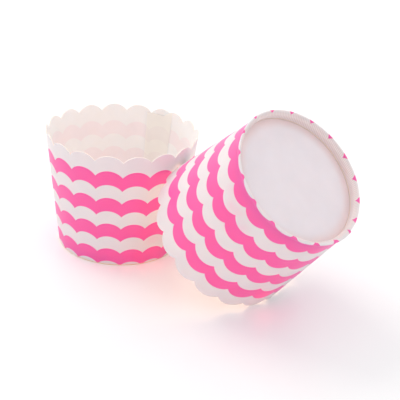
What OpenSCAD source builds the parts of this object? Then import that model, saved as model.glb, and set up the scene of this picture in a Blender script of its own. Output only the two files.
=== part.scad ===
// Two scalloped paper dessert cups: one stands upright, the other lies mouth down against it.
// Each cup is two pieces of card: a lapped, die-cut sidewall with a folded hem, and a base disc.
// Origin: middle of the upright cup's base, on the table. +Z is up, -Y is the front.

/* [Card] */
// Thickness of the coated card
card_t = 0.4; // [0.3:0.05:0.6]
// Glue and folding clearance between two layers of card
glue_gap = 0.1; // [0.05:0.05:0.2]

/* [Cup] */
// Outer diameter at the bottom fold
base_d = 57.2; // [52:0.2:64]
// Outer diameter at the rim, across the cusps between the scallops
rim_d = 69; // [66:0.2:76]
// Height of the rim cusps above the table
cusp_h = 52.5; // [40:0.5:70]
// Height of the underside of the base disc above the bottom fold
recess_h = 4.9; // [4:0.1:8]
// Radius of the outer corners of the bottom fold
fold_r = 0.35; // [0.2:0.05:0.6]
// Outer radius of the bend between the base disc and its skirt
bend_r = 0.55; // [0.4:0.05:0.8]

/* [Scalloped rim] */
// Number of scallops die-cut along the card blank
scallops = 18; // [14:1:24]
// Rise of each scallop above its cusps
scallop_rise = 3; // [2:0.1:4]

/* [Lapped seam] */
// Width by which the scalloped edge laps over itself, measured at the rim
lap_w = 4.6; // [2:0.2:8]
// Width of the plain glue tab beyond the last scallop, measured at the rim
tab_w = 9.5; // [6:0.5:14]
// Direction of the outer edge of the seam on the upright cup, in degrees
seam_az = 52.2; // [0:0.1:360]

/* [Tipped cup] */
// Angle between the tipped cup's axis and straight up
tip_tilt = 136.6; // [120:0.1:150]
// Direction in which the tipped cup's mouth points
tip_heading = 134.8; // [90:0.1:180]
// Turn of the tipped cup about its own axis
tip_spin = 186.4; // [0:0.1:360]
// Direction in which the tipped cup lies from the upright one
tip_bearing = -37.5; // [-60:0.1:-20]
// Gap left where the tipped rim leans on the upright wall
lean_gap = 0.1; // [0.05:0.05:0.3]

/* [Hidden] */

$fn = 96;
fold_steps = 4;
lip_steps = 24;
solve_steps = 24;
spare = 20;

card_white = "#F4EEF0";

taper = (rim_d - base_d) / 2 / cusp_h;
taper_deg = atan(taper);
top_h = cusp_h + scallop_rise;
wall_w = card_t / cos(taper_deg);
lap_deg = 360 * lap_w / (PI * rim_d);
tab_deg = 360 * tab_w / (PI * rim_d);
step_deg = (360 + lap_deg) / scallops;
wrap_shift = card_t / 2;
skirt_gap = wall_w + 2 * glue_gap;
hem_in_w = wall_w + skirt_gap + wall_w;
floor_in_w = hem_in_w + card_t;
hem_h = recess_h - glue_gap;
skirt_h = card_t + glue_gap;
floor_top = recess_h + card_t;
tab_foot = floor_top + glue_gap;

function wall_r(z) = base_d / 2 + taper * z;
function chord_at(z) = 2 * wall_r(z) * sin(step_deg / 2);
function arc_r(chord, rise) = (chord * chord / 4 + rise * rise) / (2 * rise);
function spin_z(p, a) = [p.x * cos(a) - p.y * sin(a), p.x * sin(a) + p.y * cos(a), p.z];
function tilt_y(p, a) = [p.x * cos(a) + p.z * sin(a), p.y, p.z * cos(a) - p.x * sin(a)];
function tipped(p) = spin_z(tilt_y(spin_z(p, tip_spin), tip_tilt), tip_heading);

// Points along both edges of the scalloped rim, as the tipped cup holds them
rim_arc = arc_r(chord_at(cusp_h), scallop_rise);
lip_angle = acos(1 - scallop_rise / rim_arc);
rim_points = [
    for (j = [0:scallops - 1], i = [-lip_steps:lip_steps], inward = [0, wall_w])
        let (
            turn = lip_angle * i / lip_steps,
            mid = (j + 0.5) * step_deg,
            grow = mid < 180 ? wrap_shift : 0,
            z = top_h - rim_arc * (1 - cos(turn)),
            y = rim_arc * sin(turn),
            r = wall_r(z) + grow - inward,
            p = spin_z([sqrt(r * r - y * y), y, z], mid)
        )
        tipped(spin_z(p + [grow, 0, 0], seam_az))
];

// The tipped cup is lifted until its lowest scallop meets the table,
// then slid towards the upright cup until its rim is one lean_gap from the wall
tip_lift = -min([for (p = rim_points) p.z]);
function wall_gap(d) =
    min([for (p = rim_points)
        let (x = p.x + d * cos(tip_bearing), y = p.y + d * sin(tip_bearing), z = p.z + tip_lift)
        (norm([x, y]) - wall_r(min(z, top_h))) * cos(taper_deg)]);
function slide(near, far, n) =
    n == 0 ? far
    : let (mid = (near + far) / 2)
        wall_gap(mid) > lean_gap ? slide(near, mid, n - 1) : slide(mid, far, n - 1);
tip_distance = slide(rim_d / 2, 3 * rim_d, solve_steps);

// Section of the wall, with the floor of the fold reaching in below the base skirt
function wall_section(grow, top) =
    let (r0 = wall_r(0) + grow)
    concat(
        [for (i = [0:fold_steps])
            let (a = 270 + 90 * i / fold_steps)
            [r0 - fold_r + fold_r * cos(a), fold_r + fold_r * sin(a)]],
        [[wall_r(top) + grow, top], [wall_r(top) + grow - wall_w, top],
         [wall_r(card_t) + grow - wall_w, card_t],
         [wall_r(card_t) - floor_in_w, card_t], [wall_r(0) - floor_in_w, 0]]
    );

// A rod through the wall whose top is scallop j of the rim.
// Scallops are counted from the outer edge of the seam, which lies along +X here.
module scallop_rod(j) {
    zc = top_h - rim_arc;
    rotate([0, 0, (j + 0.5) * step_deg])
        translate([wall_r(zc), 0, zc])
            rotate([0, 90, 0])
                cylinder(h = spare, r = rim_arc, center = true);
}

// Everything below the rim's scalloped line, from scallop first to scallop last
module below_rim(first, last) {
    translate([0, 0, -spare]) cylinder(h = cusp_h + spare, r = rim_d);
    for (j = [first:last]) scallop_rod(j);
}

// Half a turn of the wall, from angle start. The outer half has its centre half a card
// towards the seam, so the wrap ends one card thickness outside the place where it began.
module half_turn(start, grow) {
    translate([grow, 0, 0])
        intersection() {
            rotate([0, 0, start])
                rotate_extrude(angle = 180)
                    polygon(wall_section(grow, top_h));
            below_rim(floor(start / step_deg), min(ceil((start + 180) / step_deg), scallops) - 1);
        }
}

// End of the blank inside the lap: half a scallop, then the plain glue tab
module glue_tab() {
    intersection() {
        rotate_extrude(angle = lap_deg + tab_deg)
            polygon([
                [wall_r(tab_foot) - wall_w, tab_foot],
                [wall_r(tab_foot) + glue_gap, tab_foot],
                [wall_r(top_h) + glue_gap, top_h],
                [wall_r(top_h) - wall_w, top_h]
            ]);
        below_rim(scallops - 1, scallops - 1);
    }
}

// A cone that follows the wall, some distance in from its outer face
module cone_inside(inward, low, high) {
    translate([0, 0, low])
        cylinder(h = high - low, r1 = wall_r(low) - inward, r2 = wall_r(high) - inward);
}

// The blank's bottom edge is folded in and up round the skirt of the base, as a hem
module sidewall() {
    color(card_white)
        difference() {
            union() {
                half_turn(0, wrap_shift);
                half_turn(180, 0);
                glue_tab();
                cone_inside(hem_in_w - wall_w, 0, hem_h);
            }
            cone_inside(hem_in_w, -card_t, recess_h);
        }
}

// Base disc with its skirt bent down between the wall and the hem
module base() {
    inset = wall_w + glue_gap;
    skirt_r = wall_r(floor_top - bend_r) - inset;
    color(card_white)
        rotate_extrude()
            polygon(concat(
                [[0, recess_h],
                 [wall_r(recess_h) - inset - wall_w, recess_h],
                 [wall_r(skirt_h) - inset - wall_w, skirt_h],
                 [wall_r(skirt_h) - inset, skirt_h]],
                [for (i = [0:fold_steps])
                    let (a = 90 * i / fold_steps)
                    [skirt_r - bend_r + bend_r * cos(a), floor_top - bend_r + bend_r * sin(a)]],
                [[0, floor_top]]
            ));
}

module place_tipped() {
    translate([tip_distance * cos(tip_bearing), tip_distance * sin(tip_bearing), tip_lift])
        rotate([0, tip_tilt, tip_heading])
            rotate([0, 0, tip_spin])
                children();
}

module upright_sidewall() { rotate([0, 0, seam_az]) sidewall(); }
module upright_base() { base(); }
module tipped_sidewall() { place_tipped() rotate([0, 0, seam_az]) sidewall(); }
module tipped_base() { place_tipped() base(); }

upright_sidewall();
upright_base();
tipped_sidewall();
tipped_base();
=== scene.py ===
"""Two scalloped paper dessert cups, one standing and one tipped mouth down against it.

Each cup is one wrapped, printed card blank and one base disc. Lengths are in millimetres until a mesh is
made, and azimuths are in degrees about the cup's own axis, counterclockwise from +X.
"""

import logging
import math
from dataclasses import dataclass, replace
from enum import Enum

import bpy
import numpy as np
from mathutils import Matrix, Vector


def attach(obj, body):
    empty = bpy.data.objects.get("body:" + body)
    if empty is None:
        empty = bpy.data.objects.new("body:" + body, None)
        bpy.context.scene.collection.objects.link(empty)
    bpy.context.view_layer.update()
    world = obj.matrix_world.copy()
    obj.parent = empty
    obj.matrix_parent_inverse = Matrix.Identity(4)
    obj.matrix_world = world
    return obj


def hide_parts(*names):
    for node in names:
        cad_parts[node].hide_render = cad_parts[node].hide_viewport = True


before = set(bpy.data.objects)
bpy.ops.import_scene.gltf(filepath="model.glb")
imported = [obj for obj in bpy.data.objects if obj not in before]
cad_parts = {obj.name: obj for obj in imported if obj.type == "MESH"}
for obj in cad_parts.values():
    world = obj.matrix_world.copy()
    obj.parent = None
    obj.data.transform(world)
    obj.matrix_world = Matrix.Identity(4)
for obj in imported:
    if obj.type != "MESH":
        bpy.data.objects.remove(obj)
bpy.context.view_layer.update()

log = logging.getLogger("dessert_cups")

MM = 0.001


def linear(code: str) -> tuple[float, float, float, float]:
    """Turns an sRGB hex colour into linear light: c/12.92 where c is small, else ((c + 0.055)/1.055)^2.4.

    Args:
        code: six hex digits.

    Returns:
        Red, green, blue and alpha for a colour socket.
    """
    parts = (int(code[i : i + 2], 16) / 255 for i in (0, 2, 4))
    return (*(c / 12.92 if c <= 0.04045 else ((c + 0.055) / 1.055) ** 2.4 for c in parts), 1.0)


def add_node(tree: bpy.types.NodeTree, kind: str, inputs: dict | None = None, **settings: object) -> bpy.types.Node:
    """Adds a node, sets its properties, and links or sets its inputs.

    Args:
        tree: the node tree that gets the node.
        kind: the node's type name without its ShaderNode prefix.
        inputs: input name or number to a socket to link, or a value to set.
        settings: properties of the node itself.

    Returns:
        The new node.
    """
    made = tree.nodes.new("ShaderNode" + kind)
    for name, value in settings.items():
        setattr(made, name, value)
    for key, value in (inputs or {}).items():
        if isinstance(value, bpy.types.NodeSocket):
            tree.links.new(value, made.inputs[key])
        else:
            made.inputs[key].default_value = value
    return made


def smooth_step(low: float, high: float, x: np.ndarray) -> np.ndarray:
    """Rises from 0 at low to 1 at high as 3t^2 - 2t^3, where t is x's place between them, held to 0..1."""
    t = np.clip((x - low) / (high - low), 0.0, 1.0)
    return t * t * (3 - 2 * t)


class Side(Enum):
    """The surfaces of a card blank, numbered as the mesh's material slots."""

    PRINTED = 0
    INSIDE = 1
    EDGE = 2
    LAPPED = 3  # the inside of the glue tab, where two cards lie together


@dataclass(frozen=True)
class CupSize:
    """One cup's sizes: those of its solids, and below them what folding does to its foot."""

    card: float = 0.4
    glue: float = 0.1
    base_r: float = 28.6
    rim_r: float = 34.5
    cusp_h: float = 52.5
    recess_h: float = 4.9
    scallops: int = 18
    scallop_rise: float = 3.0
    lap_w: float = 4.6
    tab_w: float = 9.5
    seam_az: float = 52.2
    foot: float = 0.0  # by how much the bottom fold lies higher than drawn
    flare: float = 0.0  # by how much the bottom fold stands out, up to flare_h
    flare_h: float = 2.8
    skirt_room: float = 1.0  # height over which the hem parts from the wall, above the bottom fold
    crimps: int = 12  # a scallop, so that they stand 0.8 mm apart
    crimp_lean: float = 0.55  # crimps that one is shifted by for each millimetre up the hem

    @property
    def taper(self) -> float:
        """Growth of the wall's radius for each millimetre of height."""
        return (self.rim_r - self.base_r) / self.cusp_h

    @property
    def wall_w(self) -> float:
        """Thickness of the leaning wall, measured level."""
        return self.card * math.hypot(1.0, self.taper)

    @property
    def fold_r(self) -> float:
        """Radius of the printed face round the bottom fold, where wall and hem are pinched together."""
        return (2 * self.wall_w + self.glue) / 2

    @property
    def fold_z(self) -> float:
        """Height of the middle of the bottom fold."""
        return self.foot + self.fold_r

    @property
    def skirt_foot(self) -> float:
        """Height above which the base's skirt lies between wall and hem."""
        return self.fold_z + self.skirt_room

    @property
    def step_deg(self) -> float:
        """Turn of one scallop: a full turn and the lap, shared by the scallops."""
        return (360 + self.degrees_at_rim(self.lap_w)) / self.scallops

    @property
    def turn(self) -> float:
        """One full turn, counted in scallops."""
        return 360 / self.step_deg

    @property
    def tab_end(self) -> float:
        """Where the glue tab ends, counted in scallops."""
        return self.scallops + self.degrees_at_rim(self.tab_w) / self.step_deg

    @property
    def hem_foot(self) -> float:
        """Where the fold ends and the hem starts, as a place up the blank: half a circle below the fold's middle."""
        return self.fold_z - math.pi * self.fold_r

    @property
    def raw_edge(self) -> float:
        """The hem's raw edge, as a place up the blank. The hem reaches the underside of the base."""
        return self.hem_foot - (self.recess_h - self.fold_z)

    @property
    def floor_top(self) -> float:
        """Height of the base disc's upper face."""
        return self.recess_h + self.card

    def degrees_at_rim(self, width: float) -> float:
        """Turn that a width takes up along the rim."""
        return math.degrees(width / self.rim_r)

    def wall_r(self, z: np.ndarray | float) -> np.ndarray | float:
        """Radius of the wall's outer face: base radius, taper times the height z, and the flare, which fades with z."""
        return self.base_r + self.taper * z + self.flare * (1 - smooth_step(0.0, self.flare_h, z))

    def arch(self, u: np.ndarray, ratio: float) -> np.ndarray:
        """Height of a scallop's circular arc over its chord, from 0 at the cusps to 1 in the middle.

        With the chord as 1, the arc's radius is R = (1/4 + ratio^2) / (2 ratio), and at the distance d from
        the middle its height is ratio - R + sqrt(R^2 - d^2).

        Args:
            u: place along the blank, counted in scallops.
            ratio: rise over chord.

        Returns:
            The height over the rise, for each u.
        """
        radius = (0.25 + ratio * ratio) / (2 * ratio)
        away = u - np.floor(u) - 0.5
        return (ratio - radius + np.sqrt(radius * radius - away * away)) / ratio

    def rim_h(self, u: np.ndarray) -> np.ndarray:
        """Height of the die-cut rim: the cusps' height plus the rise times the arch, and level past the last scallop.

        Args:
            u: places along the blank, counted in scallops.

        Returns:
            A height for each place.
        """
        chord = 2 * self.rim_r * math.sin(math.radians(self.step_deg / 2))
        arch = self.arch(u, self.scallop_rise / chord)
        return self.cusp_h + self.scallop_rise * np.where(u < self.scallops, arch, 0.0)


@dataclass(frozen=True)
class Placing:
    """Where a cup stands: its own frame is turned by spin, tilt and heading, then moved by shift."""

    spin: float = 0.0
    tilt: float = 0.0
    heading: float = 0.0
    shift: tuple[float, float, float] = (0.0, 0.0, 0.0)

    def turned(self, points: np.ndarray) -> np.ndarray:
        """Points turned about Z by spin, about Y by tilt, and about Z by heading."""
        turn = (
            Matrix.Rotation(math.radians(self.heading), 3, "Z")
            @ Matrix.Rotation(math.radians(self.tilt), 3, "Y")
            @ Matrix.Rotation(math.radians(self.spin), 3, "Z")
        )
        return points @ np.array(turn).T

    def place(self, points: np.ndarray) -> np.ndarray:
        """Points in the cup's own frame, turned and moved to where the cup stands."""
        return self.turned(points) + np.array(self.shift)


def make_mesh(
    name: str, points: np.ndarray, quads: np.ndarray, slots: np.ndarray, maps: dict[str, np.ndarray]
) -> bpy.types.Object:
    """Puts a quad mesh into the scene, smooth but for edges over 35 degrees.

    Args:
        name: the piece's name.
        points: vertices, in millimetres.
        quads: four vertex numbers a face, outwards.
        slots: material slot of each face.
        maps: for each UV map, each vertex's place on the flat card.

    Returns:
        The new object, with its place in its mesh.
    """
    mesh = bpy.data.meshes.new(name)
    mesh.vertices.add(len(points))
    mesh.vertices.foreach_set("co", (points * MM).astype(np.float32).ravel())
    mesh.loops.add(quads.size)
    mesh.loops.foreach_set("vertex_index", quads.astype(np.int32).ravel())
    mesh.polygons.add(len(quads))
    mesh.polygons.foreach_set("loop_start", np.arange(0, quads.size, 4, dtype=np.int32))
    mesh.polygons.foreach_set("material_index", slots.astype(np.int32))
    mesh.polygons.foreach_set("use_smooth", np.ones(len(quads), dtype=bool))
    for title, places in maps.items():
        mesh.uv_layers.new(name=title).uv.foreach_set("vector", places[quads.ravel()].astype(np.float32).ravel())
    mesh.update(calc_edges=True)
    mesh.validate()
    mesh.set_sharp_from_angle(angle=math.radians(35))
    piece = bpy.data.objects.new(name, mesh)
    bpy.context.scene.collection.objects.link(piece)
    return piece


def grid_quads(rows: int, columns: int, closed_rows: bool, closed_columns: bool) -> np.ndarray:
    """Faces of a grid whose point (i, j) is numbered i * columns + j.

    Args:
        rows: points in the first direction.
        columns: points in the second direction.
        closed_rows: whether the last row joins the first.
        closed_columns: whether the last column joins the first.

    Returns:
        Four vertex numbers a face, row by row.
    """
    i = np.arange(rows if closed_rows else rows - 1)[:, None]
    j = np.arange(columns if closed_columns else columns - 1)[None, :]
    below, above = i * columns, (i + 1) % rows * columns
    here, there = j, (j + 1) % columns
    return np.stack([below + here, below + there, above + there, above + here], -1).reshape(-1, 4)


@dataclass
class Sidewall:
    """The wrapped card blank: printed wall, bottom fold, crimped hem, scalloped rim and lapped glue tab."""

    name: str
    size: CupSize
    placing: Placing
    columns: int = 60  # a scallop, which gives five to a crimp
    lap_room: float = 0.02  # between the layers at the lap
    crimp_depth: float = 0.05
    crimp_through: float = 0.4  # share of that depth on the card's other face
    crimp_from: float = 2.4  # angle round the fold where the crimps start, in radians
    ridge: float = 0.06  # how far the skirt's foot presses the hem out
    ridge_at: float = 2.1  # how far up the hem that ridge lies
    ridge_width: float = 0.22
    drawn: float = 0.0  # by how much folding draws the print down over the fold
    askew: float = 0.0  # by how much more it does so at the azimuth 0, and less opposite
    drawn_over: tuple[float, float] = (-0.6, 2.4)  # places up the blank: in full, and not yet
    wave: float = 0.09
    wave_from: float = 9.0  # height where the wall starts to wave
    phase: float = 0.0

    def face(self, u: np.ndarray, v: np.ndarray, inward: float) -> np.ndarray:
        """Points of one face of the card.

        v is the height on the wall. Below the fold's middle it goes on as length round the fold, a half
        circle of radius q, and then up the hem. At the angle t round the fold the point lies
        q - (q - inward) cos t inside the wall's cone, and (q - inward) sin t below the fold's middle. Above
        the fold the hem parts from the wall, to make room for the base's skirt. The wrap runs outwards
        like a spiral over its first half turn, by a card's thickness, so that its start lies outside its end.
        Crimps are the absolute value of a sine of u and v, turned over, and the ridge on the hem is a bell curve.

        Args:
            u: place along the blank, counted in scallops.
            v: place up the blank.
            inward: level distance from the printed face into the card.

        Returns:
            Points in the cup's own frame, one for each u and v.
        """
        s = self.size
        q = s.fold_r
        round_fold = np.clip((s.fold_z - v) / q, 0.0, math.pi)
        past = np.maximum(s.fold_z - math.pi * q - v, 0.0)
        z = np.maximum(v, s.fold_z) - (q - inward) * np.sin(round_fold) + past
        inset = q - (q - inward) * np.cos(round_fold)
        inset = inset + (s.wall_w + s.glue) * smooth_step(0.0, s.skirt_room, past)
        turn = np.radians(u * s.step_deg)
        half = (1 + np.cos(turn)) * s.card / 2
        lapped = half - s.wall_w - self.lap_room
        inner = np.where(turn < 2 * math.pi, -self.lap_room * smooth_step(math.pi, 2 * math.pi, turn), lapped)
        spiral = np.where(turn < math.pi, half, inner)
        spiral = spiral * (1 + np.cos(round_fold)) / 2
        crimp = np.abs(np.sin(math.pi * (s.crimps * u + s.crimp_lean * v)))
        uneven = 0.75 + 0.25 * np.sin(2.3 * u + 0.7) * np.sin(5.1 * u)  # each crimp's depth differs a little
        on_hem = smooth_step(self.crimp_from, math.pi, round_fold)
        crimped = self.crimp_depth * (1 - crimp) * uneven * on_hem * (1.0 if inward == 0 else self.crimp_through)
        crimped = crimped + self.ridge * np.exp(-(((past - self.ridge_at) / self.ridge_width) ** 2)) * (past > 0)
        wavy = self.wave * smooth_step(self.wave_from, s.cusp_h, z) * self.waves(turn, z)
        radius = s.wall_r(z) - inset + spiral + crimped + wavy
        azimuth = np.radians(s.seam_az) + turn
        return np.stack([radius * np.cos(azimuth), radius * np.sin(azimuth), z + 0 * turn], -1)

    def waves(self, turn: np.ndarray, z: np.ndarray) -> np.ndarray:
        """Slow unevenness of the wrapped wall: a sum of three sines that fade out at the lap.

        Args:
            turn: angle along the wrap, in radians.
            z: height, in millimetres.

        Returns:
            The unevenness, between -1 and 1.
        """
        away = np.minimum(turn, np.abs(2 * math.pi - turn))
        waves = 0.5 * np.sin(3 * turn + self.phase) + 0.3 * np.sin(5 * turn - 0.05 * z + 2 * self.phase)
        waves = waves + 0.2 * np.sin(9 * turn + 0.03 * z)
        return waves * smooth_step(0.35, 0.9, away)

    def rows(self, u: np.ndarray, low: float) -> np.ndarray:
        """Places up the blank for each column: level rows round the fold, then rows that bend into the rim.

        Row heights go evenly from the last level row to the rim. The rim's shape is added to each by the cube
        of its share of the way, so that rows low on the wall stay level.

        Args:
            u: places along the blank, counted in scallops.
            low: place up the blank where the rows start.

        Returns:
            A place up the blank for each row and column.
        """
        s = self.size
        hem_rows, fold_rows, flare_rows, wall_rows = 15, 11, 5, 13
        level = np.array([low])
        if low < 0:
            hem = np.linspace(low, s.hem_foot, hem_rows)[:-1]
            fold = np.linspace(s.hem_foot, s.fold_z, fold_rows)
            level = np.concatenate([hem, fold, np.linspace(s.fold_z, s.flare_h, flare_rows)[1:]])
        share = np.linspace(0, 1, wall_rows)[1:, None]
        even = level[-1] + share * (s.cusp_h - level[-1])
        bent = even + share**3 * (s.rim_h(u) - s.cusp_h)
        return np.concatenate([np.broadcast_to(level[:, None], (len(level), len(u))), bent])

    def strip(self, first: float, last: float, low: float) -> tuple[np.ndarray, ...]:
        """A closed piece of card between two places along the blank.

        The printed face's rows run up to the rim and the inside's run back down, as one closed loop of rows.

        Args:
            first: where the strip starts, counted in scallops.
            last: where it ends.
            low: place up the blank where it starts.

        Returns:
            Points, faces, each face's slot, and each point's place in the print and on the blank.
        """
        whole = np.arange(math.ceil(first * self.columns), math.floor(last * self.columns) + 1) / self.columns
        u = np.unique(np.concatenate([whole, [first, last]]))
        v = self.rows(u, low)
        up = len(v)
        points = np.concatenate([self.face(u[None, :], v, 0.0), self.face(u[None, :], v[::-1], self.size.wall_w)])
        quads = grid_quads(2 * up, len(u), True, False)
        row = np.repeat(np.arange(2 * up), len(u) - 1)
        slots = np.where(row < up, Side.PRINTED.value, Side.INSIDE.value)
        slots[(row == up - 1) | (row == 2 * up - 1)] = Side.EDGE.value
        k = np.arange(up - 1)
        mirror = 2 * up - 1 - k
        starts = np.stack([k, k + 1, mirror - 1, mirror], -1) * len(u)
        ends = (np.stack([k, mirror, mirror - 1, k + 1], -1) + 1) * len(u) - 1
        caps = np.concatenate([starts, ends])
        slots = np.concatenate([slots, np.full(len(caps), Side.EDGE.value)])
        azimuth = np.radians(self.size.seam_az + u * self.size.step_deg)
        printed = v + (self.drawn + self.askew * np.cos(azimuth)) * (1 - smooth_step(*self.drawn_over, v))
        maps = (
            np.stack([np.broadcast_to(u, (2 * up, len(u))), np.concatenate([w, w[::-1]])], -1).reshape(-1, 2)
            for w in (printed, v)
        )
        return points.reshape(-1, 3), np.concatenate([quads, caps]), slots, *maps

    def rim(self) -> np.ndarray:
        """Points along both edges of the scalloped rim, 0.13 mm apart.

        Returns:
            The points, in the cup's own frame.
        """
        u = np.linspace(0, self.size.turn, 1700)[:-1]
        v = self.size.rim_h(u)
        return np.concatenate([self.face(u, v, 0.0), self.face(u, v, self.size.wall_w)])

    def build(self, finishes: list[bpy.types.Material]) -> bpy.types.Object:
        """Makes the piece from the full turn of the blank and the lapped tab inside it.

        Args:
            finishes: materials in the order of Side.

        Returns:
            The finished piece.
        """
        s = self.size
        whole = self.strip(0.0, s.turn, s.raw_edge)
        tab = self.strip(s.turn, s.tab_end, s.floor_top + s.glue)
        points, slots, printed, blank = (np.concatenate([whole[i], tab[i]]) for i in (0, 2, 3, 4))
        slots[len(whole[2]) :][tab[2] == Side.INSIDE.value] = Side.LAPPED.value
        quads = np.concatenate([whole[1], tab[1] + len(whole[0])])
        maps = {"print": printed, "blank": blank}
        piece = make_mesh(self.name, self.placing.place(points), quads, slots, maps)
        for finish in finishes:
            piece.data.materials.append(finish)
        return piece


@dataclass
class Base:
    """The card disc, with its edge bent down as a skirt between the wall and the hem."""

    name: str
    size: CupSize
    placing: Placing
    columns: int = 288
    rings: int = 24  # on each face of the disc
    first_ring: float = 0.5  # radius of the smallest one
    bend: float = 0.55  # outer radius of the bend between the disc and its skirt
    sag: float = 0.12
    sag_rim: float = 3.0  # width of the disc's edge, which the skirt holds level

    def profile(self) -> tuple[np.ndarray, int]:
        """The card's section: out along the underside, down inside the skirt, round its foot, up and back.

        Rings lie closer together towards the middle, each a fixed share of the one outside it.

        Returns:
            Radius and height of each point, and the number of the step across the skirt's raw foot.
        """
        s = self.size
        inset = s.wall_w + s.glue
        bend_points, skirt_points = 7, 9
        t = np.linspace(0, math.pi / 2, bend_points)
        tight = self.bend - s.card
        inner_r = s.wall_r(s.recess_h) - inset - s.wall_w
        outer_r = s.wall_r(s.floor_top - self.bend) - inset
        under_r = np.geomspace(self.first_ring, inner_r - tight, self.rings)
        under = np.stack([under_r, np.full(self.rings, s.recess_h)], -1)
        inside_bend = np.stack([inner_r - tight + tight * np.sin(t), s.recess_h - tight + tight * np.cos(t)], -1)[1:]
        down = np.linspace(s.recess_h - tight, s.skirt_foot, skirt_points)[1:]
        inside = np.stack([s.wall_r(down) - inset - s.wall_w, down], -1)
        up = np.linspace(s.skirt_foot, s.floor_top - self.bend, skirt_points)[:-1]
        outside = np.stack([s.wall_r(up) - inset, up], -1)
        outside_bend = np.stack(
            [outer_r - self.bend + self.bend * np.cos(t), s.floor_top - self.bend + self.bend * np.sin(t)], -1
        )
        over_r = np.geomspace(self.first_ring, outer_r - self.bend, self.rings)[:-1][::-1]
        over = np.stack([over_r, np.full(self.rings - 1, s.floor_top)], -1)
        to_foot = np.concatenate([under, inside_bend, inside])
        return np.concatenate([to_foot, outside, outside_bend, over]), len(to_foot) - 1

    def build(self, finishes: list[bpy.types.Material]) -> bpy.types.Object:
        """Turns the section about the axis. The disc bulges into the cup by sag times 1 - (r / R)^2.

        Args:
            finishes: the card's material and the raw edge's.

        Returns:
            The finished piece.
        """
        section, foot_step = self.profile()
        n = self.columns
        turn = np.linspace(0, 2 * math.pi, n, endpoint=False)
        r, z = section[:, 0][:, None], section[:, 1][:, None]
        bulge = self.sag * np.maximum(1 - (r / (self.size.base_r - self.sag_rim)) ** 2, 0)
        points = np.stack([r * np.cos(turn), r * np.sin(turn), z + bulge + 0 * turn], -1).reshape(-1, 3)
        quads = grid_quads(len(section), n, False, True)
        row = np.repeat(np.arange(len(section) - 1), n)
        # Four-sided faces across the smallest ring of each face close the middle.
        k = np.arange(n // 2 - 1)
        low_cap = np.stack([k, (n - 1 - k) % n, (n - 2 - k) % n, k + 1], -1)
        top_cap = low_cap[:, ::-1] + (len(section) - 1) * n
        slots = np.concatenate([np.where(row == foot_step, 1, 0), np.zeros(2 * len(k), dtype=int)])
        quads = np.concatenate([quads, low_cap, top_cap])
        piece = make_mesh(self.name, self.placing.place(points), quads, slots, {"disc": points[:, :2]})
        for finish in finishes:
            piece.data.materials.append(finish)
        return piece


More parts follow.
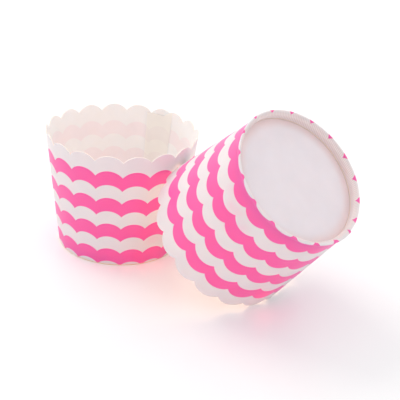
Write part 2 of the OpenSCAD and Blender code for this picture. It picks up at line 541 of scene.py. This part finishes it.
@dataclass(frozen=True)
class Print:
    """The printed bands, in the blank's own coordinates: scallops along it and millimetres up it."""

    size: CupSize
    top: float  # height of the uppermost printed line's cusps
    skew: float  # by how much the rows lean, where they lean most
    skew_from: float  # direction that the lean is counted from, in degrees
    band: float = 6.48  # height of one band, inked or bare
    bands: int = 4  # inked ones
    rise_low: float = 2.21  # rise of the printed scallops at the foot of the wall
    rise_gain: float = 0.0152  # growth of that rise for each millimetre of height
    ratio: float = 0.241  # rise over chord of the printed scallops
    spread: float = 0.17  # by how much spreading ink widens its band
    softness: float = 0.05  # half the width of the ink's blurred edge

    def mask(self, tree: bpy.types.NodeTree, u: bpy.types.NodeSocket, v: bpy.types.NodeSocket) -> bpy.types.NodeSocket:
        """Nodes that are 1 on ink and 0 on bare card.

        The arch of CupSize.arch, times a rise that grows slowly with height, is taken off v. What is left is
        counted down from the top row in pairs of bands, and ink lies where the sine of a full turn for each pair is
        above 0, from the first pair to the last. Both limits lie in the middle of a bare band.

        Args:
            tree: the material's nodes.
            u: place along the blank, counted in scallops.
            v: place up the blank, in millimetres.

        Returns:
            The mask's socket.
        """
        radius = (0.25 + self.ratio**2) / (2 * self.ratio)
        part = add_node(tree, "Math", {0: u}, operation="FRACT").outputs[0]
        away = add_node(tree, "Math", {0: part, 1: 0.5}, operation="SUBTRACT").outputs[0]
        square = add_node(tree, "Math", {0: away, 1: away}, operation="MULTIPLY").outputs[0]
        under = add_node(tree, "Math", {0: radius * radius, 1: square}, operation="SUBTRACT").outputs[0]
        root = add_node(tree, "Math", {0: under}, operation="SQRT").outputs[0]
        scaled = {0: root, 1: 1 / self.ratio, 2: 1 - radius / self.ratio}
        arch = add_node(tree, "Math", scaled, operation="MULTIPLY_ADD").outputs[0]
        rise = add_node(tree, "Math", {0: v, 1: self.rise_gain, 2: self.rise_low}, operation="MULTIPLY_ADD").outputs[0]
        lifted = add_node(tree, "Math", {0: arch, 1: rise}, operation="MULTIPLY").outputs[0]
        turned = {0: u, 1: math.radians(self.size.step_deg), 2: math.radians(self.skew_from)}
        azimuth = add_node(tree, "Math", turned, operation="MULTIPLY_ADD").outputs[0]
        askew = add_node(tree, "Math", {0: azimuth}, operation="SINE").outputs[0]
        lifted = add_node(tree, "Math", {0: askew, 1: self.skew, 2: lifted}, operation="MULTIPLY_ADD").outputs[0]
        plain = add_node(tree, "Math", {0: v, 1: lifted}, operation="SUBTRACT").outputs[0]
        pair = 2 * self.band
        counted = {0: plain, 1: -1 / pair, 2: self.top / pair}
        pairs = add_node(tree, "Math", counted, operation="MULTIPLY_ADD").outputs[0]
        wave = add_node(tree, "Math", {0: pairs, 1: 2 * math.pi}, operation="MULTIPLY").outputs[0]
        wave = add_node(tree, "Math", {0: wave}, operation="SINE").outputs[0]
        soft, spread = math.pi * self.softness / self.band, math.pi * self.spread / self.band / 2
        blurred = {"Value": wave, "From Min": -soft - spread, "From Max": soft - spread}
        ink = add_node(tree, "MapRange", blurred, interpolation_type="SMOOTHSTEP").outputs[0]
        half_bare = 0.25  # half a bare band, as a share of a pair
        begun = add_node(tree, "Math", {0: pairs, 1: -half_bare}, operation="GREATER_THAN").outputs[0]
        ended = add_node(tree, "Math", {0: pairs, 1: self.bands - half_bare}, operation="LESS_THAN").outputs[0]
        within = add_node(tree, "Math", {0: begun, 1: ended}, operation="MULTIPLY").outputs[0]
        return add_node(tree, "Math", {0: ink, 1: within}, operation="MULTIPLY").outputs[0]


def new_material(name: str) -> tuple[bpy.types.Material, bpy.types.NodeTree, bpy.types.Node]:
    """Makes a material with one Principled shader.

    Args:
        name: the real material's name.

    Returns:
        The material, its nodes and its shader.
    """
    made = bpy.data.materials.new(name)
    made.use_nodes = True
    shader = next(n for n in made.node_tree.nodes if n.type == "BSDF_PRINCIPLED")
    return made, made.node_tree, shader


def fibre_bump(tree: bpy.types.NodeTree, shader: bpy.types.Node, grain: float, depth: float) -> bpy.types.NodeSocket:
    """Adds the card's fibre grain as bump and gives back a slow cloud for its tone.

    Args:
        tree: the material's nodes.
        shader: the shader whose normal is bumped.
        grain: distance between grains, in millimetres.
        depth: height of the grains, in millimetres.

    Returns:
        A slow cloud, about 0.5 everywhere, in patches of 9 mm.
    """
    place = add_node(tree, "TexCoord").outputs["Object"]
    fine = add_node(tree, "TexNoise", {"Vector": place, "Scale": 1 / (grain * MM), "Detail": 3.0, "Roughness": 0.6})
    bump = add_node(tree, "Bump", {"Height": fine.outputs["Fac"], "Distance": depth * MM, "Strength": 1.0})
    tree.links.new(bump.outputs[0], shader.inputs["Normal"])
    return add_node(tree, "TexNoise", {"Vector": place, "Scale": 1 / (9 * MM), "Detail": 2.0}).outputs["Fac"]


def finish_card(
    tree: bpy.types.NodeTree,
    shader: bpy.types.Node,
    colour: bpy.types.NodeSocket | tuple[float, float, float, float],
    cloud: bpy.types.NodeSocket,
    darkest: float,
    roughness: float,
    scatter: float = 1.0,
) -> None:
    """Gives a card its tone and roughness, and lets light through it.

    The colour is multiplied by a tone that rises with the cloud from darkest to 1. Light scatters inside the
    card over about its own thickness, farthest in red, so what comes out on the far side is warmer.

    Args:
        tree: the material's nodes.
        shader: the card's shader.
        colour: the card's colour before the tone.
        cloud: the slow cloud that fibre_bump gives.
        darkest: the tone where the cloud is thinnest.
        roughness: the shader's roughness.
        scatter: share of the light that scatters inside the card.
    """
    tone = add_node(tree, "MapRange", {"Value": cloud, "From Min": 0.3, "From Max": 0.7, "To Min": darkest})
    layer = {"Factor": 1.0, "A": colour, "B": tone.outputs[0]}
    toned = add_node(tree, "Mix", layer, data_type="RGBA", blend_type="MULTIPLY").outputs["Result"]
    tree.links.new(toned, shader.inputs["Base Color"])
    shader.inputs["Roughness"].default_value = roughness
    shader.inputs["Subsurface Weight"].default_value = scatter
    shader.inputs["Subsurface Radius"].default_value = (1.0, 0.9, 0.85)
    shader.inputs["Subsurface Scale"].default_value = 0.5 * MM


def seen_directly(tree: bpy.types.NodeTree) -> bpy.types.NodeSocket:
    """Tells what the camera sees from light that falls on things: the largest of three marks on the ray.

    Args:
        tree: the nodes of a material or of the world.

    Returns:
        A socket that is 1 for what is seen straight or by a reflection, and 0 for the rest.
    """
    path = add_node(tree, "LightPath").outputs
    seen = path["Is Camera Ray"]
    for ray in ("Is Glossy Ray", "Is Transmission Ray"):
        seen = add_node(tree, "Math", {0: seen, 1: path[ray]}, operation="MAXIMUM").outputs[0]
    return seen


@dataclass(frozen=True)
class Smudge:
    """A patch of rubbed-off ink on the bare card, in the blank's coordinates."""

    u: float  # place of its middle along the blank, counted in scallops
    v: float  # place of its middle up the blank, in millimetres
    strength: float = 0.3
    radius: float = 4.0
    scallop: float = 10.5  # length of one scallop there

    def mask(
        self, tree: bpy.types.NodeTree, u: bpy.types.NodeSocket, v: bpy.types.NodeSocket, cloud: bpy.types.NodeSocket
    ) -> bpy.types.NodeSocket:
        """Nodes that fall evenly from the strength at the middle to 0 at the radius, times the cloud.

        Args:
            tree: the material's nodes.
            u: place along the blank, counted in scallops.
            v: place up the blank, in millimetres.
            cloud: the slow cloud that fibre_bump gives.

        Returns:
            The mask's socket.
        """
        length = {0: u, 1: self.scallop, 2: -self.scallop * self.u}
        along = add_node(tree, "Math", length, operation="MULTIPLY_ADD").outputs[0]
        up = add_node(tree, "Math", {0: v, 1: self.v}, operation="SUBTRACT").outputs[0]
        spot = add_node(tree, "CombineXYZ", {0: along, 1: up}).outputs[0]
        away = add_node(tree, "VectorMath", {0: spot}, operation="LENGTH").outputs["Value"]
        fade = {"Value": away, "From Min": self.radius, "From Max": 0.0, "To Max": self.strength}
        near = add_node(tree, "MapRange", fade).outputs[0]
        return add_node(tree, "Math", {0: near, 1: cloud}, operation="MULTIPLY").outputs[0]


@dataclass(frozen=True)
class PrintedCard:
    """Clay-coated folding boxboard, offset printed: a smooth satin face that gives crisp, dense ink."""

    name: str
    pattern: Print
    smudges: tuple[Smudge, ...] = ()
    bare: str = "E6E0E2"
    ink: str = "FF65AF"
    # painted warm pink light over the fold and hem, for light that comes through from the printed wall behind
    hem: str = "F7E4E3"
    # painted tan light along the hem's raw edge, where the skirt's bend meets the disc
    raw: str = "FFE2CC"
    # painted shade along the crimp lines
    crimp: str = "DABCB8"
    # painted warm yellow glow of light along the bottom fold
    fold: str = "FFCC96"
    fold_glow_share: float = 0.0  # how much of the painted warm glow shows along the fold
    roughness: float = 0.42

    def build(self) -> bpy.types.Material:
        """Mixes bare card and ink by the print's mask.

        The bare card is painted warmer over the fold and hem, as painted warm light for light that comes through from
        the printed wall behind the hem, and a tan line of painted warm light runs along the hem's raw edge. On the hem,
        shade is painted along the crimps, where the sine of the crimps' own count is near 0. Along the fold a warm
        yellow glow of light is painted, and ink is rubbed off in smudges.

        Returns:
            The material.
        """
        made, tree, shader = new_material(self.name)
        cloud = fibre_bump(tree, shader, grain=0.7, depth=0.012)
        size = self.pattern.size
        printed = add_node(tree, "SeparateXYZ", {0: add_node(tree, "UVMap", uv_map="print").outputs[0]}).outputs
        blank = add_node(tree, "SeparateXYZ", {0: add_node(tree, "UVMap", uv_map="blank").outputs[0]}).outputs
        u, v = blank["X"], blank["Y"]
        ink = self.pattern.mask(tree, printed["X"], printed["Y"])
        leaning = add_node(tree, "Math", {0: v, 1: size.crimp_lean * math.pi}, operation="MULTIPLY").outputs[0]
        counted = {0: u, 1: size.crimps * math.pi, 2: leaning}
        count = add_node(tree, "Math", counted, operation="MULTIPLY_ADD").outputs[0]
        crease = add_node(tree, "Math", {0: count}, operation="SINE").outputs[0]
        crease = add_node(tree, "Math", {0: crease}, operation="ABSOLUTE").outputs[0]
        away = add_node(tree, "Math", {0: v}, operation="ABSOLUTE").outputs[0]
        # What each ramp reads, where it is 0, where it is full, and how full. All but the crease are in millimetres.
        # The hem's and the raw edge's ramps lay painted warm light, the crease's lays painted shade, and the fold's a
        # painted warm glow.
        ramps = (
            (v, size.hem_foot + 0.8, size.hem_foot - 0.4, 1.0),
            (crease, 0.6, 0.0, 0.8),
            (v, size.raw_edge + 0.5, size.raw_edge + 0.3, 1.0),
            (away, 0.65, 0.25, self.fold_glow_share),
        )
        on_hem, painted_crease_shade, raw, painted_fold_glow = (
            add_node(tree, "MapRange", {"Value": value, "From Min": start, "From Max": end, "To Max": top}).outputs[0]
            for value, start, end, top in ramps
        )
        painted_crease_shade = add_node(tree, "Math", {0: painted_crease_shade, 1: on_hem}, operation="MULTIPLY").outputs[0]
        layers = [(on_hem, self.hem), (painted_crease_shade, self.crimp), (raw, self.raw)]
        layers += [(smudge.mask(tree, u, v, cloud), self.ink) for smudge in self.smudges]
        colour = linear(self.bare)
        for share, over in layers + [(ink, self.ink), (painted_fold_glow, self.fold)]:
            layer = {"Factor": share, "A": colour, "B": linear(over)}
            colour = add_node(tree, "Mix", layer, data_type="RGBA").outputs["Result"]
        finish_card(tree, shader, colour, cloud, darkest=0.975, roughness=self.roughness)
        return made


@dataclass(frozen=True)
class InsideCard:
    """The board's uncoated inside: matt and cream. The faint show-through of the print is painted light: the pink of
    light coming through the thin printed card from behind.
    """

    name: str
    pattern: Print
    cream: str = "F1EEEC"
    # painted pink light, the print showing through the card from behind
    through: str = "F1E7E7"
    behind: float = 0.0  # by how many scallops the print that shows through lies back along the blank
    scatter: float = 1.0  # share of the light that scatters inside the card
    roughness: float = 0.7

    def build(self) -> bpy.types.Material:
        """Mixes cream and show-through by the print's mask.

        Returns:
            The material.
        """
        made, tree, shader = new_material(self.name)
        cloud = fibre_bump(tree, shader, grain=0.8, depth=0.03)
        spot = add_node(tree, "SeparateXYZ", {0: add_node(tree, "UVMap", uv_map="print").outputs[0]})
        along = add_node(tree, "Math", {0: spot.outputs["X"], 1: self.behind}, operation="SUBTRACT").outputs[0]
        ink = self.pattern.mask(tree, along, spot.outputs["Y"])
        layer = {"Factor": ink, "A": linear(self.cream), "B": linear(self.through)}
        shown = add_node(tree, "Mix", layer, data_type="RGBA").outputs["Result"]
        finish_card(tree, shader, shown, cloud, darkest=0.97, roughness=self.roughness, scatter=self.scatter)
        return made


@dataclass(frozen=True)
class PlainCard:
    """Unprinted board, for the base and for raw die-cut edges, where bare fibre is matt and a little warmer."""

    name: str
    colour: str
    roughness: float
    grain: float  # distance between the fibre's grains
    edge: str = ""  # painted shade towards the edge of a disc, where it meets the hem
    edge_shade_from: float = 0.0  # radius where that painted shade starts, in millimetres
    edge_shade_to: float = 1.0  # radius where it is full

    def build(self) -> bpy.types.Material:
        """Adds slow clouds and fibre grain to one colour, and on a disc a darker, pinker edge of painted shade, where
        the disc meets the hem.

        Returns:
            The material.
        """
        made, tree, shader = new_material(self.name)
        cloud = fibre_bump(tree, shader, self.grain, depth=0.02)
        colour = linear(self.colour)
        if self.edge:
            place = add_node(tree, "UVMap", uv_map="disc").outputs[0]
            away = add_node(tree, "VectorMath", {0: place}, operation="LENGTH").outputs["Value"]
            reach = {"Value": away, "From Min": self.edge_shade_from, "From Max": self.edge_shade_to}
            near = add_node(tree, "MapRange", reach, interpolation_type="SMOOTHSTEP").outputs[0]
            layer = {"Factor": near, "A": colour, "B": linear(self.edge)}
            colour = add_node(tree, "Mix", layer, data_type="RGBA").outputs["Result"]
        finish_card(tree, shader, colour, cloud, darkest=0.965, roughness=self.roughness)
        return made


@dataclass
class Cup:
    """One dessert cup: its sidewall and its base, which stand for the two solids of the same names."""

    prefix: str
    pattern: Print
    phase: float
    drawn: float = 0.0
    askew: float = 0.0
    fold_glow_share: float = 0.0
    smudges: tuple[Smudge, ...] = ()
    placing: Placing = Placing()

    def sidewall(self) -> Sidewall:
        """The cup's sidewall, before it is made."""
        name, size = f"{self.prefix}_cup_wall", self.pattern.size
        return Sidewall(name, size, self.placing, drawn=self.drawn, askew=self.askew, phase=self.phase)

    def lean(self, loose: Placing, bearing: float, gap: float) -> None:
        """Lays the cup against one that stands at the origin.

        It is lifted until the lowest point of its rim is on the table, then slid along its bearing, by halving
        the range, until the nearest point of its rim is the gap from the standing cup's wall.

        Args:
            loose: how the cup is turned.
            bearing: direction in which it lies, in degrees.
            gap: distance left between its rim and the standing wall.
        """
        size = CupSize()
        rim = loose.turned(self.sidewall().rim())
        lift = -rim[:, 2].min()
        along = np.array([math.cos(math.radians(bearing)), math.sin(math.radians(bearing))])
        near, far = size.rim_r, 6 * size.rim_r
        for _ in range(40):
            middle = (near + far) / 2
            away = np.linalg.norm(rim[:, :2] + middle * along, axis=1)
            wall = size.wall_r(np.minimum(rim[:, 2] + lift, size.cusp_h + size.scallop_rise))
            clear = ((away - wall) / math.hypot(1.0, size.taper)).min()
            near, far = (near, middle) if clear > gap else (middle, far)
        self.placing = replace(loose, shift=(*(far * along), lift))
        log.info("%s cup lies at %s", self.prefix, self.placing.shift)

    def build(self) -> list[bpy.types.Object]:
        """Makes and dresses both pieces, attaches them to the root body and hides the solids they stand for.

        Returns:
            The sidewall and the base.
        """
        p, size = self.pattern, self.pattern.size
        edge = PlainCard(f"{self.prefix} raw board edge", "F1E6DC", roughness=0.8, grain=0.5).build()
        printed = PrintedCard(f"{self.prefix} coated board, printed", p, self.smudges, fold_glow_share=self.fold_glow_share)
        inside = InsideCard(f"{self.prefix} board, uncoated inside", p)
        # The lapped tab's inside is painted lighter and warmer, standing in for light that comes through the card, and
        # it scatters less.
        lapped = InsideCard(f"{self.prefix} board, lapped", p, "FBF3EA", "F8EEE7", behind=size.turn, scatter=0.25)
        wall = self.sidewall().build([printed.build(), inside.build(), edge, lapped.build()])
        white = PlainCard(
            f"{self.prefix} white board",
            "E5E1E6",
            roughness=0.6,
            grain=0.8,
            # painted shade, darker and pinker, towards the disc's edge
            edge="E3D6D8",
            edge_shade_from=22.5,
            edge_shade_to=27.0,
        )
        base = Base(f"{self.prefix}_cup_base", size, self.placing).build([white.build(), edge])
        for piece, node, slot in ((wall, "sidewall", "printed_card"), (base, "base", "white_card")):
            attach(piece, "root")
            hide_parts(f"{self.prefix}_{node}")
            log.info("%s: %d faces", piece.name, len(piece.data.polygons))
        return [wall, base]


@dataclass(frozen=True)
class Studio:
    """The white table, the soft light and the camera, which stands where it was fitted to the photo."""

    ambient: float = 0.98
    table_glow: float = 0.065
    lens: float = 79.24  # on a sensor 36 mm wide
    pitch: float = 24.853  # by how many degrees the camera looks down
    roll: float = 4.392  # by how many degrees it is turned about its line of sight
    eye: tuple[float, float, float] = (37.627, -377.893, 197.645)
    aim: tuple[float, float, float] = (0.04, -0.02, 0.02)  # what the lamps face, in metres

    def camera(self) -> None:
        """Puts up the camera: its axes are the world's, tipped about X by the pitch, then turned by the roll."""
        pitch, roll = math.radians(self.pitch), math.radians(self.roll)
        right = np.array([1.0, 0.0, 0.0])
        back = np.array([0.0, -math.cos(pitch), math.sin(pitch)])
        up = np.array([0.0, math.sin(pitch), math.cos(pitch)])
        rolled_right = math.cos(roll) * right + math.sin(roll) * up
        rolled_up = math.cos(roll) * up - math.sin(roll) * right
        axes = np.stack([rolled_right, rolled_up, back], 1)
        data = bpy.data.cameras.new("photo_camera")
        data.lens, data.sensor_width = self.lens, 36.0
        data.clip_start, data.clip_end = 0.01, 20.0
        camera = bpy.data.objects.new("photo_camera", data)
        matrix = Matrix(axes.tolist()).to_4x4()
        matrix.translation = [c * MM for c in self.eye]
        camera.matrix_world = matrix
        bpy.context.scene.collection.objects.link(camera)
        bpy.context.scene.camera = camera

    def lamp(self, name: str, place: tuple[float, float, float], width: float, power: float, colour: str) -> None:
        """Hangs a square soft lamp that faces the cups.

        Args:
            name: the lamp's name.
            place: its middle, in metres.
            width: its side, in metres.
            power: its power, in watts.
            colour: its light, as sRGB hex.
        """
        data = bpy.data.lights.new(name, "AREA")
        data.shape, data.size, data.energy = "SQUARE", width, power
        data.color = linear(colour)[:3]
        lamp = bpy.data.objects.new(name, data)
        away = Vector(place) - Vector(self.aim)
        lamp.matrix_world = Matrix.Translation(place) @ away.to_track_quat("Z", "Y").to_matrix().to_4x4()
        bpy.context.scene.collection.objects.link(lamp)

    def glow(self, name: str, place: tuple[float, float, float], radius: float, power: float, colour: str) -> None:
        """Puts a weak round lamp close to the cups, for light that has come through the thin card.

        Args:
            name: the lamp's name.
            place: its middle, in metres.
            radius: its radius, in metres.
            power: its power, in watts.
            colour: its light, as sRGB hex.
        """
        data = bpy.data.lights.new(name, "POINT")
        data.shadow_soft_size, data.energy = radius, power
        data.color = linear(colour)[:3]
        lamp = bpy.data.objects.new(name, data)
        lamp.matrix_world = Matrix.Translation(place)
        lamp.visible_camera = False
        bpy.context.scene.collection.objects.link(lamp)

    def lights(self) -> None:
        """Lights the cups by an even white room and by a large lamp behind them on the left, for soft shadows.

        Weak glows inside the cups and at their feet stand for the light that comes through thin printed card.
        """
        world = bpy.data.worlds.new("white_room")
        bpy.context.scene.world = world
        world.use_nodes = True
        tree = world.node_tree
        level = {"Value": seen_directly(tree), "To Min": self.ambient, "To Max": 1.0}
        strength = add_node(tree, "MapRange", level).outputs[0]
        background = next(n for n in tree.nodes if n.type == "BACKGROUND")
        background.inputs["Color"].default_value = (1, 1, 1, 1)
        tree.links.new(strength, background.inputs["Strength"])
        self.lamp("window", (-0.55, 0.45, 0.75), 0.6, 3.5, "FFF6EE")
        self.glow("through_tipped_cup", (0.0575, -0.0395, 0.0350), 0.008, 0.015, "FFD8B8")
        self.glow("inside_upright_cup", (0.0, 0.0, 0.030), 0.012, 0.003, "FFF0E4")
        self.glow("through_tipped_rim", (0.068, -0.060, 0.006), 0.004, 0.0003, "FF2A50")
        away, height = 32 * MM, 2.5 * MM
        for number, (turn, power) in enumerate(((-103, 2e-5), (-90, 4e-5), (-77, 6e-5), (-64, 8e-5), (-51, 8e-5))):
            place = (away * math.cos(math.radians(turn)), away * math.sin(math.radians(turn)), height)
            self.glow(f"through_lowest_band_{number}", place, 0.002, power, "FF3248")

    def table(self) -> None:
        """Lays a white table top under the cups, which keeps their shadows.

        Its sheet is a little darker than white, so that it throws less light up at the cups. A small cool glow
        that only the camera sees makes up for that.
        """
        mesh = bpy.data.meshes.new("table_top")
        side, low = 2.5, -0.02 * MM
        corners = [(x * side, y * side, low) for x, y in ((-1, -1), (1, -1), (1, 1), (-1, 1))]
        mesh.from_pydata(corners, [], [(0, 1, 2, 3)])
        table = bpy.data.objects.new("table_top", mesh)
        bpy.context.scene.collection.objects.link(table)
        # Cast acrylic, satin on top: it gives the cups a short, blurred reflection.
        made, tree, shader = new_material("white acrylic sheet")
        shader.inputs["Base Color"].default_value = linear("F4F2F3")
        shader.inputs["Roughness"].default_value = 0.35
        glow = add_node(tree, "Math", {0: seen_directly(tree), 1: self.table_glow}, operation="MULTIPLY").outputs[0]
        shader.inputs["Emission Color"].default_value = linear("C8FFFF")
        tree.links.new(glow, shader.inputs["Emission Strength"])
        mesh.materials.append(made)

    def build(self) -> None:
        """Sets up camera, lights and table, with colours shown plainly."""
        bpy.context.scene.view_settings.view_transform = "Standard"
        self.camera()
        self.lights()
        self.table()


def main() -> None:
    logging.basicConfig(level=logging.INFO, format="%(name)s: %(message)s")
    Studio().build()
    bands = Print(CupSize(), top=44.71, skew=0.8, skew_from=-87)
    rubbed = (Smudge(12.3, 13.0), Smudge(12.7, 12.5, strength=0.2))
    Cup("upright", bands, phase=0.4, fold_glow_share=0.85, smudges=rubbed).build()
    bands = Print(CupSize(foot=0.4, flare=0.9), top=45.34, skew=0.32, skew_from=155.1)
    rubbed = tuple(Smudge(u, v) for u, v in ((5.35, 12.0), (4.9, 18.5), (4.5, 13.25), (5.85, 8.25), (4.95, 10.25)))
    tipped = Cup("tipped", bands, phase=2.1, drawn=0.85, askew=0.7, smudges=rubbed)
    tipped.lean(Placing(spin=288.52, tilt=136.6, heading=134.8), bearing=-37.5, gap=0.1)
    tipped.build()


if __name__ == "__main__":
    main()
